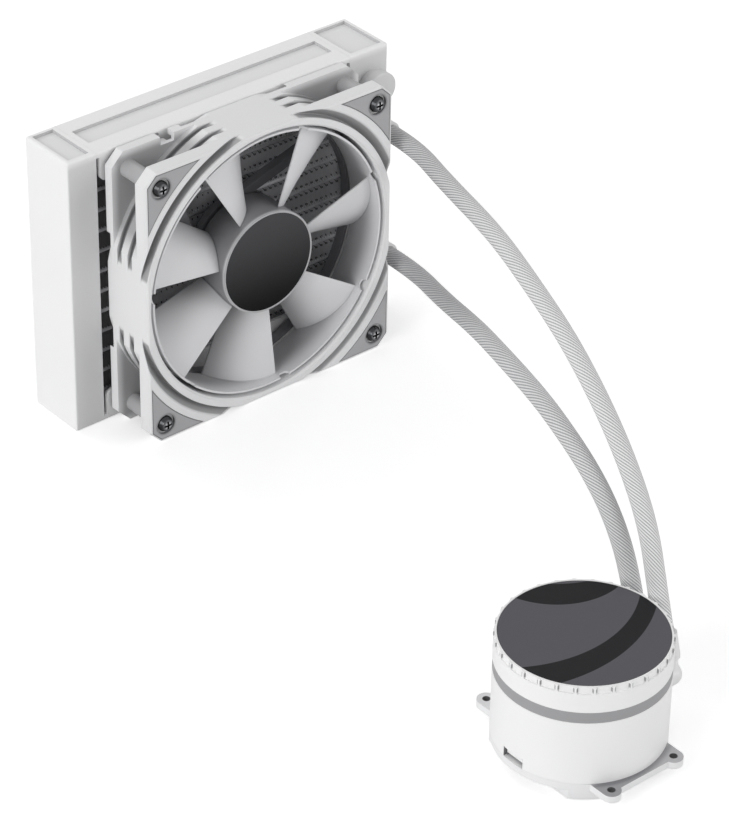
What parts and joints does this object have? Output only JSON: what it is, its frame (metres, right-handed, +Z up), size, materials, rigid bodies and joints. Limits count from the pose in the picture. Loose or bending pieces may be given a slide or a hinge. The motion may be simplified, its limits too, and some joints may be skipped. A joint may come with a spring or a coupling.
{
  "type": "all in one cpu liquid cooler",
  "caption": "Closed-loop liquid cooler for a processor: a finned radiator with a square fan, sleeved hoses with elbows, and a round low pump on a cold plate.",
  "frame": {"origin": "centre of the cold plate's contact face", "axes": "+Z up, along the pump's axis; +Y from the pump to the radiator; +X to the side of the pump's elbows and the radiator's hose ports"},
  "size_m": [0.165, 0.3275, 0.12],
  "materials": {
    "white_enamel": "matte white powder coat",
    "dark_fin": "matte dark coat",
    "fan_white": "satin",
    "blade_white": "satin",
    "grey_rubber": "matte",
    "black_rubber": "matte",
    "bright_screw": "bright plated",
    "dark_disc": "satin",
    "magnet_grey": "sintered",
    "steel_pin": "ground",
    "bearing_bronze": "sintered",
    "board_green": "solder mask",
    "iron_core": "stacked sheets",
    "copper_wire": "enamelled wire",
    "copper_plate": "machined",
    "black_plastic": "satin",
    "pump_white": "satin",
    "band_grey": "frosted",
    "white_fitting": "smooth",
    "white_ferrule": "satin",
    "sleeve_white": "fine woven sleeve over rubber"
  },
  "bodies": {
    "cooler": {"left_tank": "white_enamel", "right_tank": "white_enamel", "left_header": "dark_fin", "right_header": "dark_fin", "fill_plug_seal": "grey_rubber", "fill_plug": "white_enamel", "lower_tank_fitting": "white_fitting", "lower_tank_ferrule": "white_ferrule", "upper_tank_fitting": "white_fitting", "upper_tank_ferrule": "white_ferrule", "radiator_tubes": "dark_fin", "radiator_fins": "dark_fin", "top_side_plate": "white_enamel", "bottom_side_plate": "white_enamel", "fan_frame": "fan_white", "fan_front_pads": "grey_rubber", "fan_rear_pads": "grey_rubber", "fan_screws": "bright_screw", "fan_bearing": "bearing_bronze", "fan_board": "board_green", "fan_stator": "iron_core", "fan_coils": "copper_wire", "cold_plate": "copper_plate", "plate_screws": "bright_screw", "plate_gasket": "black_rubber", "flow_guide": "black_plastic", "base_frame": "pump_white", "volute": "black_plastic", "separation_can": "black_plastic", "impeller_shaft": "steel_pin", "pump_stator": "iron_core", "pump_coils": "copper_wire", "pump_housing": "pump_white", "lead_socket": "pump_white", "light_band": "band_grey", "pump_board": "board_green", "crown_ring": "pump_white", "crown_disc": "dark_disc", "upper_elbow": "white_fitting", "upper_pump_ferrule": "white_ferrule", "lower_elbow": "white_fitting", "lower_pump_ferrule": "white_ferrule", "upper_hose": "sleeve_white", "lower_hose": "sleeve_white"},
    "fan_rotor": {"fan_rotor": "blade_white", "fan_hub_disc": "dark_disc", "fan_magnet": "magnet_grey", "fan_shaft": "steel_pin"},
    "impeller": {"impeller": "black_plastic", "impeller_magnet": "magnet_grey"}
  },
  "joints": [
    {"name": "fan_spin", "type": "hinge", "parent": "cooler", "child": "fan_rotor", "pos_m": [0.0545, 0.2498, 0.06], "axis": [0, -1, 0], "continuous": true},
    {"name": "impeller_spin", "type": "hinge", "parent": "cooler", "child": "impeller", "pos_m": [0, 0, 0.012], "axis": [0, 0, 1], "continuous": true}
  ]
}
